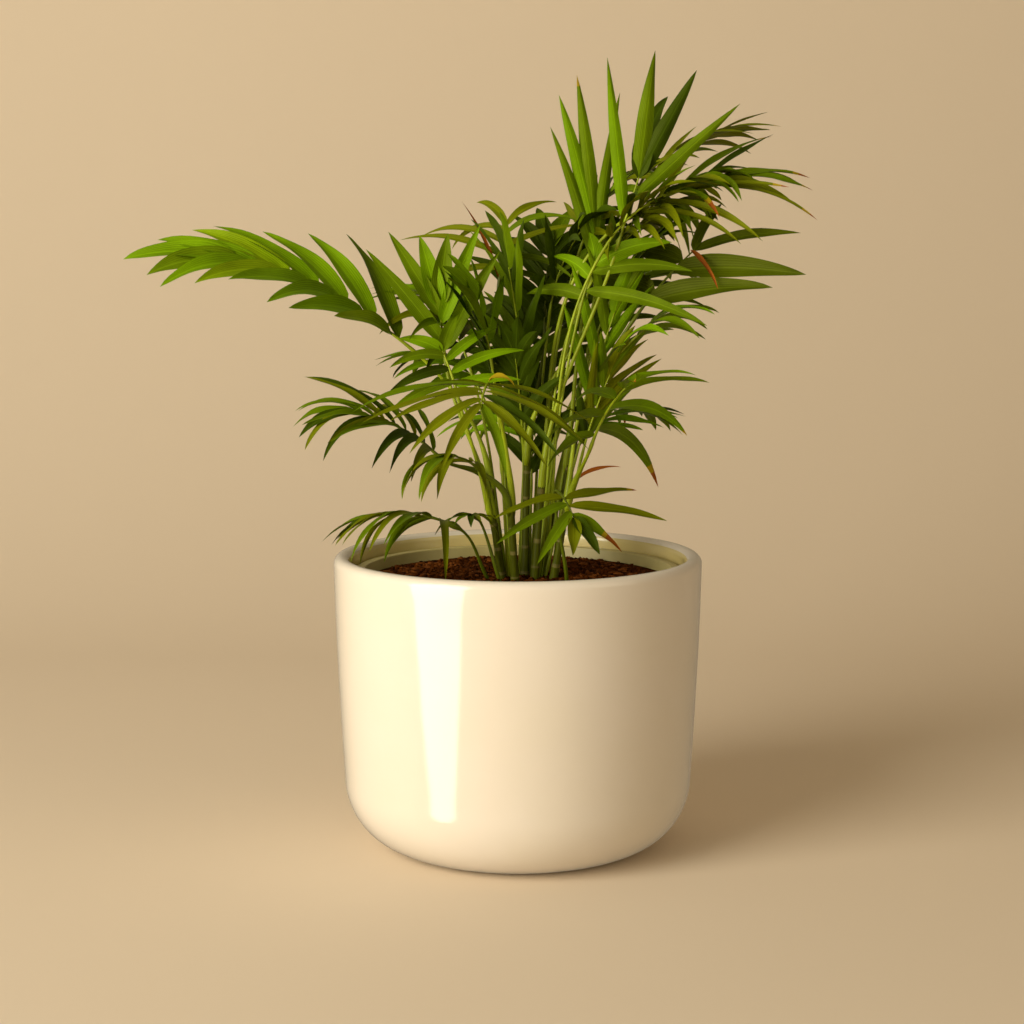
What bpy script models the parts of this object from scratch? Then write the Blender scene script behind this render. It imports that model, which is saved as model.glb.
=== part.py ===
"""Parlour palm in its pot: a clump of stems, arching petioles and feather-like fronds.

Named sizes are in millimetres and degrees, and meshes are in metres. +Z is up, +X is right and -Y is
the front. The origin is the centre of the pot's flat underside.
"""
import math
import random

import bmesh
import bpy
from mathutils import Matrix, Vector
from mathutils.bvhtree import BVHTree

MM = 0.001
GAP = 0.3                      # clearance between neighbouring pieces

POT_HEIGHT = 128.0
POT_RIM_RADIUS = 80.0
POT_FOOT_RADIUS = 48.0         # edge of the flat underside
POT_SHOULDER = (76.0, 30.0)    # radius and height where the round corner meets the wall
POT_WALL = 7.0
POT_FLOOR = 8.0
POT_INNER_FOOT = 46.0
POT_INNER_SHOULDER = (69.5, 34.0)
POT_SEGMENTS = 44

LINER_WALL = 1.6
LINER_FOOT = (45.0, 8.3)       # radius and height of each corner of its outside
LINER_SHOULDER = (60.0, 20.0)
LINER_NECK = (68.5, 117.8)
LINER_RIM_RADIUS = 71.0
LINER_HEIGHT = 121.5

SOIL_LEVEL = 118.0             # flat middle where the stems stand
SOIL_EDGE_LEVEL = 116.6
SOIL_FLAT_RADIUS = 36.0

STEM_SIDES = 8
PETIOLE_SIDES = 5
RIB_SIDES = 4
PETIOLE_FOOT_RADIUS = 1.3
PETIOLE_TIP_RADIUS = 1.0
PETIOLE_STEPS = 6
PETIOLE_RING = 1.5             # distance of the petiole feet from the stem's axis
RIB_TIP_RADIUS = 0.6
RIB_STEPS = 4
LEAF_THICKNESS = 0.85
LEAF_STATIONS = 3
LEAF_ROOT_SHARE = 0.24         # width at the root as a share of the widest
CLEARANCE_SWELL = 0.6          # how much larger a leaflet is while its space is tested

# Leaflet tries, in order, until one is clear of the neighbours: degrees of lift and share of length.
TRIES = [(lift, share) for share in (1.0, 0.82) for lift in (0, 7, -7, 14, -14, 22, -22, 30, -30)]

LEAF_GREEN = (0.105, 0.235, 0.02)
STEM_GREEN = (0.10, 0.17, 0.03)
PETIOLE_GREEN = (0.20, 0.33, 0.04)
GLAZE_IVORY = (0.84, 0.75, 0.55)
LINER_CREAM = (0.55, 0.52, 0.38)
SOIL_BROWN = (0.055, 0.026, 0.012)

# Stems: foot and top (x, y) on the soil, height of the top, radius at the foot and at the top.
STEMS = {
    "left": dict(foot=(-7, 0), top=(-12, 1), height=156, radii=(2.4, 2.2)),
    "left_front": dict(foot=(-6, -7), top=(-11, -11), height=146, radii=(2.4, 2.2)),
    "front_left": dict(foot=(-1, -11), top=(-3, -16), height=150, radii=(2.4, 2.2)),
    "left_back": dict(foot=(-3, 7), top=(-6, 12), height=162, radii=(2.4, 2.2)),
    "back": dict(foot=(4, 11), top=(4, 18), height=144, radii=(2.4, 2.2)),
    "centre": dict(foot=(3, 1), top=(4, 2), height=170, radii=(2.5, 2.2)),
    "right_back": dict(foot=(12, 10), top=(17, 17), height=148, radii=(2.4, 2.2)),
    "right": dict(foot=(16, 3), top=(22, 4), height=166, radii=(2.4, 2.2)),
    "centre_right": dict(foot=(9, 4), top=(12, 7), height=160, radii=(2.4, 2.2)),
    "right_front": dict(foot=(15, -6), top=(21, -10), height=150, radii=(2.4, 2.2)),
    "front": dict(foot=(7, -7), top=(10, -9), height=158, radii=(2.5, 2.2)),
}

FRONDS = {}


def frond(name, stem, base, heading, rise, fall, rib, pairs, leaf, width, spread, droop,
          roll=0, fold=(8, 8), first=0.7, last=0.62, rows=(1, 1), swept=(0, 0)):
    """Adds a frond.

    base is where the blade starts. heading, rise and fall aim its rib: compass direction, and upward
    angle at its start and tip. leaf and width are the largest leaflet's. spread is a leaflet's angle
    to the rib and droop its downward bend, each at the blade's start and tip. roll turns the blade
    about its rib, fold lifts its two rows, rows scales their leaflets, swept adds to their spread, and
    first and last are the lengths of the end leaflets as shares of the longest. stem is a stem's name
    or a foot on the soil.
    """
    FRONDS[name] = dict(stem=stem, base=Vector(base), heading=heading, rise=rise, fall=fall, rib=rib,
                        pairs=pairs, leaf=leaf, width=width, spread=spread, droop=droop, roll=roll,
                        fold=fold, first=first, last=last, rows=rows, swept=swept)


# The side that the long left frond reaches to.
frond("left_high", "left", (-46, 0, 217), 184, 40, 13, rib=84, pairs=9, leaf=50, width=8,
      spread=(50, 11), droop=(22, 52), roll=42, fold=(20, 48), first=1.22, last=0.92)
frond("left_upright", "left_front", (-31, -4, 212), 150, 82, 84, rib=22, pairs=3, leaf=46, width=9,
      spread=(46, 12), droop=(14, 6), roll=58, fold=(6, 6))
frond("left_mid", "left", (-34, -15, 172), 196, 46, 10, rib=42, pairs=6, leaf=45, width=6,
      spread=(55, 20), droop=(90, 70), roll=8, fold=(20, 20))
frond("left_low", (-13, -10), (-28, -25, 144), 198, 24, -2, rib=28, pairs=4, leaf=46, width=6.5,
      spread=(74, 16), droop=(90, 50), roll=-6, first=0.95)
frond("left_inner", "left_front", (-26, -20, 200), 160, 75, 64, rib=18, pairs=3, leaf=28, width=6,
      spread=(92, 40), droop=(56, 20), roll=50)
frond("left_lower", "front_left", (-17, -26, 168), 222, 40, 5, rib=20, pairs=3, leaf=36, width=6,
      spread=(80, 30), droop=(80, 80))

# The front, where one frond hangs like an umbrella over the rim.
frond("front_mid", "front_left", (-12, -52, 205), 264, 6, -34, rib=26, pairs=5, leaf=60, width=7,
      spread=(84, 24), droop=(24, 30), roll=8, fold=(0, 0))

# The right side, from the lowest frond up to the top.
frond("right_low", (21, -15), (18, -36, 158), 302, -30, -54, rib=13, pairs=3, leaf=42, width=6,
      spread=(116, 28), droop=(6, 6), roll=-12, fold=(0, 0), rows=(0.85, 1))
frond("right_mid", "right_front", (31, -26, 178), 305, 62, 34, rib=34, pairs=5, leaf=50, width=6.5,
      spread=(120, 30), droop=(34, 34), rows=(0.6, 1))
frond("right_lower", "right_front", (33, -2, 202), 350, 54, 40, rib=36, pairs=4, leaf=54, width=6.5,
      spread=(56, 26), droop=(48, 64))
frond("right_wide", "right", (51, 0, 231), 10, 54, 42, rib=36, pairs=4, leaf=62, width=11,
      spread=(44, 26), droop=(16, 26), roll=-46, last=0.72, rows=(1, 0.75), swept=(0, 76))
frond("right_top", "centre_right", (46, -2, 272), 4, 34, 10, rib=52, pairs=5, leaf=58, width=6.5,
      spread=(40, 16), droop=(30, 24), roll=-32)
frond("right_back", "right", (50, 24, 282), 20, 50, 22, rib=44, pairs=5, leaf=50, width=6.5,
      spread=(44, 18), droop=(46, 34), roll=20)
frond("top", "front", (42, -8, 260), -18, 73, 72, rib=22, pairs=2, leaf=64, width=8.5,
      spread=(42, 17), droop=(4, 4), roll=70, fold=(0, 0), first=0.6, last=0.98)
frond("top_inner", "centre", (34, 6.5, 244), 0, 87, 86, rib=22, pairs=3, leaf=66, width=7.5,
      spread=(16, 9), droop=(6, 6), roll=84, fold=(0, 0), first=0.92, last=1, rows=(1, 0.6))
frond("top_left", "left_back", (-8, 20, 246), 70, 72, 64, rib=26, pairs=5, leaf=42, width=5,
      spread=(88, 50), droop=(60, 60))

# The middle and the back of the crown.
frond("centre_back", "centre", (12, 28, 222), 80, 84, 60, rib=40, pairs=5, leaf=44, width=8,
      spread=(50, 24), droop=(26, 26))
frond("centre_low", "back", (4, 24, 190), 100, 80, 50, rib=40, pairs=4, leaf=46, width=8,
      spread=(60, 26), droop=(30, 30))
frond("inner_right", "centre_right", (31, 15, 216), 60, 80, 60, rib=40, pairs=5, leaf=44, width=7.5,
      spread=(50, 26), droop=(30, 30))
frond("back_left", "left_back", (-12, 34, 214), 125, 50, 5, rib=60, pairs=6, leaf=46, width=7.5,
      spread=(55, 24), droop=(36, 36))
frond("back_right", "right_back", (36, 34, 220), 55, 54, 5, rib=62, pairs=6, leaf=48, width=7.5,
      spread=(55, 24), droop=(36, 36))
frond("back_low", "back", (2, 36, 172), 100, 34, -10, rib=52, pairs=6, leaf=42, width=7,
      spread=(60, 24), droop=(46, 46))
frond("back_low_right", "right_back", (30, 30, 176), 50, 36, -10, rib=44, pairs=5, leaf=42, width=7,
      spread=(60, 24), droop=(46, 46))


def clear_scene():
    for item in list(bpy.data.objects):
        bpy.data.objects.remove(item, do_unlink=True)


def finish(name, mesh, colour, roughness):
    """Links a mesh as the object of that name, with a material of its own."""
    material = bpy.data.materials.new(name)
    material.use_nodes = True
    shader = material.node_tree.nodes["Principled BSDF"]
    shader.inputs["Base Color"].default_value = (*colour, 1.0)
    shader.inputs["Roughness"].default_value = roughness
    shader.inputs["Metallic"].default_value = 0.0
    mesh.materials.clear()
    mesh.materials.append(material)
    mesh.shade_smooth()
    mesh.set_sharp_from_angle(angle=math.radians(40))
    item = bpy.data.objects.new(name, mesh)
    bpy.context.scene.collection.objects.link(item)
    return item


def aim(heading, rise):
    """Unit vector at a compass direction and an upward angle."""
    turn, lift = math.radians(heading), math.radians(rise)
    return Vector((math.cos(turn) * math.cos(lift), math.sin(turn) * math.cos(lift), math.sin(lift)))


def blend(pair, share):
    return pair[0] + (pair[1] - pair[0]) * share


def quarter(centre, radius, height, start, end, steps):
    """Points along an ellipse's arc, from one angle to another."""
    angles = [math.radians(start + (end - start) * i / steps) for i in range(steps + 1)]
    return [(centre[0] + radius * math.cos(a), centre[1] + height * math.sin(a)) for a in angles]


def turned(name, profile):
    """Mesh of a profile of (radius, height) points, spun once round the Z axis."""
    bm = bmesh.new()
    points = [bm.verts.new((radius * MM, 0, height * MM)) for radius, height in profile]
    edges = [bm.edges.new(pair) for pair in zip(points, points[1:])]
    bmesh.ops.spin(bm, geom=points + edges, cent=(0, 0, 0), axis=(0, 0, 1), angle=math.tau,
                   steps=POT_SEGMENTS, use_merge=True)
    bmesh.ops.remove_doubles(bm, verts=bm.verts, dist=0.00001)
    bmesh.ops.recalc_face_normals(bm, faces=bm.faces)
    mesh = bpy.data.meshes.new(name)
    bm.to_mesh(mesh)
    bm.free()
    return mesh


def wall_radius(height):
    """Outside of the pot above its round corner, which widens less and less towards the rim."""
    share = (height - POT_SHOULDER[1]) / (POT_HEIGHT - POT_SHOULDER[1])
    return POT_SHOULDER[0] + (POT_RIM_RADIUS - POT_SHOULDER[0]) * (1 - (1 - share) ** 1.5)


def pot_profile():
    lip = POT_WALL / 2
    lip_centre = (POT_RIM_RADIUS - lip, POT_HEIGHT - lip)
    corner = quarter((POT_FOOT_RADIUS, POT_SHOULDER[1]), POT_SHOULDER[0] - POT_FOOT_RADIUS,
                     POT_SHOULDER[1], -90, 0, 6)
    wall = [(wall_radius(height), height) for height in (48, 70, 98)]
    rim = quarter(lip_centre, lip, lip, 0, 180, 4)
    inner = quarter((POT_INNER_FOOT, POT_INNER_SHOULDER[1]), POT_INNER_SHOULDER[0] - POT_INNER_FOOT,
                    POT_INNER_SHOULDER[1] - POT_FLOOR, 0, -90, 3)
    return [(0, 0)] + corner + wall + rim + inner + [(0, POT_FLOOR)]


def liner_profile():
    outside = [(0, LINER_FOOT[1]), LINER_FOOT, LINER_SHOULDER, LINER_NECK,
               (LINER_RIM_RADIUS, LINER_NECK[1]), (LINER_RIM_RADIUS, LINER_HEIGHT)]
    inside = [(LINER_NECK[0] - LINER_WALL, LINER_HEIGHT),
              (LINER_SHOULDER[0] - LINER_WALL, LINER_SHOULDER[1] + LINER_WALL / 2),
              (LINER_FOOT[0] - LINER_WALL / 2, LINER_FOOT[1] + LINER_WALL), (0, LINER_FOOT[1] + LINER_WALL)]
    return outside + inside


def soil_profile():
    """Fills the liner, with a low mound in the middle."""
    bottom = LINER_FOOT[1] + LINER_WALL + GAP
    neck = LINER_NECK[0] - LINER_WALL - GAP - 0.4
    return [(0, bottom), (LINER_FOOT[0] - LINER_WALL - GAP, bottom),
            (LINER_SHOULDER[0] - LINER_WALL - 2 * GAP, LINER_SHOULDER[1] + LINER_WALL),
            (neck, SOIL_EDGE_LEVEL), (SOIL_FLAT_RADIUS, SOIL_LEVEL), (0, SOIL_LEVEL)]


def limb_mesh(name, points, radii, sides):
    """Tapering round limb along a line of points, closed by a flat cut at each end."""
    bm = bmesh.new()
    ahead = (points[1] - points[0]).normalized()
    across = ahead.orthogonal().normalized()
    rings = []
    for i, point in enumerate(points):
        before, after = points[max(i - 1, 0)], points[min(i + 1, len(points) - 1)]
        turn = ahead.rotation_difference((after - before).normalized())
        across = turn @ across
        ahead = turn @ ahead
        offsets = [Matrix.Rotation(math.tau * k / sides, 3, ahead) @ across * radii[i]
                   for k in range(sides)]
        rings.append([bm.verts.new((point + offset) * MM) for offset in offsets])
    for low, high in zip(rings, rings[1:]):
        for k in range(sides):
            bm.faces.new((low[k], low[(k + 1) % sides], high[(k + 1) % sides], high[k]))
    bm.faces.new(list(reversed(rings[0])))
    bm.faces.new(rings[-1])
    mesh = bpy.data.meshes.new(name)
    bm.to_mesh(mesh)
    bm.free()
    return mesh


def stem_line(name):
    spec = STEMS[name]
    foot = Vector((*spec["foot"], SOIL_LEVEL + GAP))
    return foot, Vector((*spec["top"], spec["height"]))


def stem_mesh(name):
    """Leaning stem, standing on the soil, with a slight swelling at the foot."""
    foot, top = stem_line(name)
    wide, slim = STEMS[name]["radii"]
    shares = (0, 0.2, 0.6, 1)
    points = [foot.lerp(top, share) for share in shares]
    radii = [wide * 1.12] + [blend((wide, slim), share) for share in shares[1:]]
    # The first ring lies flat on the soil and the last one square to the stem.
    mesh = limb_mesh("stem_" + name, points, radii, STEM_SIDES)
    for vertex in mesh.vertices[:STEM_SIDES]:
        vertex.co.z = foot.z * MM
    return mesh


def rib_direction(spec, share):
    return aim(spec["heading"], blend((spec["rise"], spec["fall"]), share))


def rib_point(spec, share, steps=24):
    """Point on the rib, whose direction turns evenly from rise to fall along its length."""
    point = spec["base"].copy()
    count = max(1, round(steps * share))
    for i in range(count):
        point += rib_direction(spec, share * (i + 0.5) / count) * (spec["rib"] * share / count)
    return point


def rib_axes(spec, share):
    """Direction of the rib, of its first row of leaflets and of the blade's upper face."""
    along = rib_direction(spec, share)
    turn = math.radians(spec["heading"])
    side = Vector((math.sin(turn), -math.cos(turn), 0))
    above = side.cross(along)
    roll = math.radians(spec["roll"])
    return (along, side * math.cos(roll) + above * math.sin(roll),
            above * math.cos(roll) - side * math.sin(roll))


def rib_mesh(name, spec):
    points = [rib_point(spec, i / RIB_STEPS) for i in range(RIB_STEPS + 1)]
    radii = [blend((PETIOLE_TIP_RADIUS, RIB_TIP_RADIUS), i / RIB_STEPS) for i in range(RIB_STEPS + 1)]
    return limb_mesh(name, points, radii, RIB_SIDES)


def petiole_feet():
    """Places the petioles round the top of their stem, the flattest on the side that it leans to."""
    feet = {}
    for stem in STEMS:
        foot, top = stem_line(stem)
        along = (top - foot).normalized()
        reach = {name: spec["base"] - top for name, spec in FRONDS.items() if spec["stem"] == stem}
        names = sorted(reach, key=lambda name: reach[name].normalized().z)
        first = math.atan2(reach[names[0]].y, reach[names[0]].x)
        places = [first + math.tau * place / len(names) for place in range(len(names))]
        for name in names:
            level = Vector((reach[name].x, reach[name].y, 0)).normalized()
            turn = max(places, key=lambda angle: level.x * math.cos(angle) + level.y * math.sin(angle))
            places.remove(turn)
            out = Vector((math.cos(turn), math.sin(turn), 0))
            out = (out - along * out.dot(along)).normalized()
            ring = PETIOLE_RING if len(names) > 1 else 0
            feet[name] = (top + along * GAP + out * ring, along)
    for name, spec in FRONDS.items():
        if spec["stem"] not in STEMS:
            feet[name] = (Vector((*spec["stem"], SOIL_LEVEL + GAP)), Vector((0, 0, 1)))
    return feet


def petiole_line(spec, foot, along):
    """Curve from the foot to just short of the blade, which leaves and arrives in line."""
    end = spec["base"] - rib_direction(spec, 0) * GAP
    reach = (end - foot).length
    handles = (foot, foot + along * reach * 0.4, end - rib_direction(spec, 0) * reach * 0.35, end)
    points = []
    for i in range(PETIOLE_STEPS + 1):
        t = i / PETIOLE_STEPS
        weights = ((1 - t) ** 3, 3 * t * (1 - t) ** 2, 3 * t * t * (1 - t), t ** 3)
        points.append(sum((handle * weight for handle, weight in zip(handles, weights)), Vector()))
    return points


def petiole_mesh(name, spec, foot, along):
    points = petiole_line(spec, foot, along)
    radii = [blend((PETIOLE_FOOT_RADIUS, PETIOLE_TIP_RADIUS), i / PETIOLE_STEPS)
             for i in range(PETIOLE_STEPS + 1)]
    mesh = limb_mesh("petiole_" + name, points, radii, PETIOLE_SIDES)
    square_end(mesh.vertices[:PETIOLE_SIDES], foot, along)
    square_end(mesh.vertices[-PETIOLE_SIDES:], points[-1], rib_direction(spec, 0))
    return mesh


def square_end(vertices, centre, normal):
    """Lays an end ring into the plane through its centre, so that it faces its neighbour's cut."""
    for vertex in vertices:
        offset = vertex.co / MM - centre
        vertex.co = (centre + offset - normal * offset.dot(normal)) * MM


def leaflet_rule(name, spec):
    """Yields start, direction, length, width, droop and upper face of each leaflet of a frond."""
    chance = random.Random(name)
    pairs = spec["pairs"]
    for pair in range(pairs):
        for row, side in enumerate((1, -1)):
            share = 0.03 + 0.94 * (pair + (0.35, 0.65)[row]) / pairs
            swing, tilt, stretch, sag = (chance.uniform(-1, 1) for _ in range(4))
            along, across, above = rib_axes(spec, share)
            angle = math.radians(blend(spec["spread"], share) + spec["swept"][row] + 4 * swing)
            lift = math.radians(spec["fold"][row] + 4 * tilt)
            out = across * side * math.cos(lift) + above * math.sin(lift)
            if share < 0.4:
                size = blend((spec["first"], 1), math.sin(share / 0.4 * math.pi / 2))
            else:
                size = blend((1, spec["last"]), ((share - 0.4) / 0.6) ** 1.5)
            yield (rib_point(spec, share), along * math.cos(angle) + out * math.sin(angle),
                   spec["leaf"] * size * (1 + 0.07 * stretch) * spec["rows"][row], spec["width"],
                   blend(spec["droop"], share) * (1 + 0.25 * sag), above)
    along, across, above = rib_axes(spec, 1)
    for row, side in enumerate((1, -1)):
        angle = math.radians(spec["spread"][1] * 0.6)
        lift = math.radians(spec["fold"][row])
        out = across * side * math.cos(lift) + above * math.sin(lift)
        yield (rib_point(spec, 0.985), along * math.cos(angle) + out * math.sin(angle),
               spec["leaf"] * spec["last"] * spec["rows"][row], spec["width"] * 1.25,
               spec["droop"][1], above)


def leaflet_line(start, direction, length, droop, steps=6):
    """Midrib of a leaflet, which bends down by the droop along its length."""
    heading = math.degrees(math.atan2(direction.y, direction.x))
    lift = math.degrees(math.asin(max(-1, min(1, direction.z))))
    points = [start.copy()]
    for i in range(steps):
        step = aim(heading, max(-88, lift - droop * (i + 0.5) / steps))
        points.append(points[-1] + step * length / steps)
    return points


def leaf_width(share):
    """Width along a leaflet as a share of its widest, drawn out to a long point."""
    body = max(0.0, math.sin(math.pi * share ** 0.8)) ** 0.75 * (1 - 0.15 * share)
    return body + LEAF_ROOT_SHARE * (1 - share) ** 3


def leaflet_shape(start, direction, length, width, droop, above, swell=0.0):
    """Corners and faces of a leaflet: a three-sided blade with a flat back, from root to point."""
    line = leaflet_line(start, direction, length, droop, 2 * LEAF_STATIONS)[::2]
    corners = []
    for i, point in enumerate(line[:-1]):
        ahead = (line[i + 1] - line[max(i - 1, 0)]).normalized()
        across = above.cross(ahead).normalized()
        upper = ahead.cross(across)
        half = 0.5 * width * leaf_width(i / LEAF_STATIONS) + swell
        corners += [point - across * half - upper * swell, point + across * half - upper * swell,
                    point + upper * (LEAF_THICKNESS + swell)]
    corners.append(line[-1])
    faces = [(0, 2, 1)]
    for ring in range(LEAF_STATIONS - 1):
        low, high = 3 * ring, 3 * ring + 3
        for k in range(3):
            after = (k + 1) % 3
            faces += [(low + k, low + after, high + after), (low + k, high + after, high + k)]
    last, tip = 3 * (LEAF_STATIONS - 1), 3 * LEAF_STATIONS
    faces += [(last + k, last + (k + 1) % 3, tip) for k in range(3)]
    return corners, faces


def clear_leaflet(leaflet, neighbours):
    """First try of a leaflet that touches no neighbour, or nothing where it has no room."""
    start, direction, length, width, droop, above = leaflet
    heading = math.degrees(math.atan2(direction.y, direction.x))
    rise = math.degrees(math.asin(max(-1, min(1, direction.z))))
    for lift, share in TRIES:
        lifted = aim(heading, max(-88, min(88, rise + lift)))
        attempt = (start, lifted, length * share, width, droop, above)
        corners, faces = leaflet_shape(*attempt, swell=CLEARANCE_SWELL)
        if not BVHTree.FromPolygons(corners, faces).overlap(neighbours):
            return leaflet_shape(*attempt)
    return None


def mesh_polygons(mesh):
    return [vertex.co / MM for vertex in mesh.vertices], [tuple(face.vertices) for face in mesh.polygons]


def joined_tree(shapes):
    """One search tree for many shapes."""
    corners, faces = [], []
    for points, polygons in shapes:
        faces += [tuple(index + len(corners) for index in face) for face in polygons]
        corners += points
    return BVHTree.FromPolygons(corners, faces)


def fuse(rib, leaflets):
    """Unites a rib with its leaflets by one Boolean on a collection, and keeps one closed body."""
    group = bpy.data.collections.new(rib.name + "_leaflets")
    bpy.context.scene.collection.children.link(group)
    for index, (corners, faces) in enumerate(leaflets):
        mesh = bpy.data.meshes.new(f"leaflet_{index}")
        mesh.from_pydata([corner * MM for corner in corners], [], faces)
        bm = bmesh.new()
        bm.from_mesh(mesh)
        bmesh.ops.recalc_face_normals(bm, faces=bm.faces)
        bm.to_mesh(mesh)
        bm.free()
        group.objects.link(bpy.data.objects.new(mesh.name, mesh))
    union = rib.modifiers.new("union", "BOOLEAN")
    union.operation = "UNION"
    union.operand_type = "COLLECTION"
    union.collection = group
    union.solver = "MANIFOLD"
    bpy.context.view_layer.update()
    evaluated = rib.evaluated_get(bpy.context.evaluated_depsgraph_get())
    mesh = bpy.data.meshes.new_from_object(evaluated)
    rib.modifiers.remove(union)
    for item in list(group.objects):
        bpy.data.objects.remove(item, do_unlink=True)
    bpy.data.collections.remove(group)
    keep_largest(mesh)
    return mesh


def keep_largest(mesh):
    """Drops loose scraps and sealed hollows that a union leaves."""
    bm = bmesh.new()
    bm.from_mesh(mesh)
    bmesh.ops.triangulate(bm, faces=bm.faces)
    bodies, seen = [], set()
    for face in bm.faces:
        if face in seen:
            continue
        seen.add(face)
        body = [face]
        for reached in body:
            for edge in reached.edges:
                fresh = set(edge.link_faces) - seen if len(edge.link_faces) == 2 else set()
                seen |= fresh
                body += fresh
        bodies.append(body)
    bodies.sort(key=len)
    scraps = [face for body in bodies[:-1] for face in body]
    bmesh.ops.delete(bm, geom=scraps, context="FACES")
    bm.to_mesh(mesh)
    bm.free()


def build():
    clear_scene()
    pot = finish("pot", turned("pot", pot_profile()), GLAZE_IVORY, 0.18)
    liner = finish("liner", turned("liner", liner_profile()), LINER_CREAM, 0.45)
    soil = finish("soil", turned("soil", soil_profile()), SOIL_BROWN, 0.95)
    solids = [mesh_polygons(item.data) for item in (pot, liner, soil)]

    for name in STEMS:
        stem = finish("stem_" + name, stem_mesh(name), STEM_GREEN, 0.5)
        solids.append(mesh_polygons(stem.data))
    for name, (foot, along) in petiole_feet().items():
        petiole = finish("petiole_" + name, petiole_mesh(name, FRONDS[name], foot, along), PETIOLE_GREEN, 0.4)
        solids.append(mesh_polygons(petiole.data))

    ribs = {name: rib_mesh("frond_" + name, spec) for name, spec in FRONDS.items()}
    grown = []
    for name, spec in FRONDS.items():
        others = [mesh_polygons(mesh) for other, mesh in ribs.items() if other != name]
        neighbours = joined_tree(solids + others + grown)
        tried = [clear_leaflet(leaflet, neighbours) for leaflet in leaflet_rule(name, spec)]
        leaflets = [shape for shape in tried if shape]
        grown += leaflets
        rib = bpy.data.objects.new("rib", ribs[name].copy())
        bpy.context.scene.collection.objects.link(rib)
        mesh = fuse(rib, leaflets)
        bpy.data.objects.remove(rib, do_unlink=True)
        mesh.name = "frond_" + name
        finish("frond_" + name, mesh, LEAF_GREEN, 0.45)


build()
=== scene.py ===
"""Looks of a parlour palm in its glazed pot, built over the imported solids."""
import math
import random

import bmesh
import bpy
from mathutils import Matrix, Vector


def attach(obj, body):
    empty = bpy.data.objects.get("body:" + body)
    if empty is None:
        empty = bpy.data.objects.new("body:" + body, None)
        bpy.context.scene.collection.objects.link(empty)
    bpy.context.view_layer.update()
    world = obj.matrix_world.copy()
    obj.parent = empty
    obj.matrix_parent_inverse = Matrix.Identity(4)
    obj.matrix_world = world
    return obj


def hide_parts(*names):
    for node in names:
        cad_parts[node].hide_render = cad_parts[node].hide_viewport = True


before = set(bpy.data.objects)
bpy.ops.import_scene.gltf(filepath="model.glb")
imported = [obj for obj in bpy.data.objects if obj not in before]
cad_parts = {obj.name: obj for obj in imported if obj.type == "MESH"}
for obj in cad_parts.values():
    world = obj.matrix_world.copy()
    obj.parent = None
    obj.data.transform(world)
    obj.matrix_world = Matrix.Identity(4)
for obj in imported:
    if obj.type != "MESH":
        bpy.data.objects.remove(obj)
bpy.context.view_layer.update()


# The pot: slip-cast stoneware with a glossy ivory glaze inside and out. Inside, its colour is the glaze
# darkened by painted shade and tinted by a painted reflection of the soil and leaves. It has a thick
# rounded lip, a nearly straight wall, a big round corner and a flat, unglazed underside that it stands on.

MM = 0.001                     # pieces are modelled in millimetres and placed in metres
POT_HEIGHT = 128.0
POT_RIM_RADIUS = 80.0
POT_FOOT_RADIUS = 48.0
POT_SHOULDER = (76.0, 30.0)
POT_WALL = 7.0
POT_FLOOR = 8.0
POT_INNER_FOOT = 46.0
POT_INNER_SHOULDER = (69.5, 34.0)
POT_WALL_LEVELS = (36, 44, 52, 60, 70, 80, 90, 100, 110, 118)
POT_STEPS = 160
BARE_CLAY_HEIGHT = 0.7
FACES_AXIS = 0.9               # how squarely an inside face looks at the pot's axis
FLOOR_FACES_BELOW = 100.0

IVORY_GLAZE = (0.86, 0.79, 0.70)
IVORY_SHADE = (0.82, 0.75, 0.61)
# Inside glaze: ivory darkened by painted shade, tinted by a painted reflection of soil and leaves
INSIDE_GLAZE_PAINTED_SHADE = (0.72, 0.60, 0.26)
BARE_CLAY = (0.56, 0.47, 0.36)
CLAY_SHADE = (0.42, 0.34, 0.25)
GLAZE_ROUGHNESS = 0.13
GLAZE_COAT = 0.4
GLAZE_COAT_ROUGHNESS = 0.09
GLAZE_CLOUDS = dict(scale=22.0, amount=0.35)
GLAZE_RIPPLE = dict(strength=0.12, distance=0.0012)
CLAY_GRAIN = dict(scale=900.0, amount=0.6)


def new_finish(name, colour, roughness, specular=0.5):
    """A material and its main shader."""
    material = bpy.data.materials.new(name)
    material.use_nodes = True
    shader = material.node_tree.nodes["Principled BSDF"]
    shader.inputs["Base Color"].default_value = (*colour, 1)
    shader.inputs["Roughness"].default_value = roughness
    shader.inputs["Specular IOR Level"].default_value = specular
    return material, shader


def add_node(tree, kind, inputs=(), **settings):
    """Adds a node, sets its options, and gives each input a value or a link."""
    node = tree.nodes.new(kind)
    for option, value in settings.items():
        setattr(node, option, value)
    for socket, value in dict(inputs).items():
        if isinstance(value, bpy.types.NodeSocket):
            tree.links.new(value, node.inputs[socket])
        else:
            node.inputs[socket].default_value = value
    return node


def new_group(name, inputs, outputs):
    """Shader node group with those sockets, its input and its output node."""
    tree = bpy.data.node_groups.new(name, "ShaderNodeTree")
    for socket, kind in inputs.items():
        tree.interface.new_socket(socket, in_out="INPUT", socket_type="NodeSocket" + kind)
    for socket, kind in outputs.items():
        tree.interface.new_socket(socket, in_out="OUTPUT", socket_type="NodeSocket" + kind)
    return tree, tree.nodes.new("NodeGroupInput"), tree.nodes.new("NodeGroupOutput")


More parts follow.
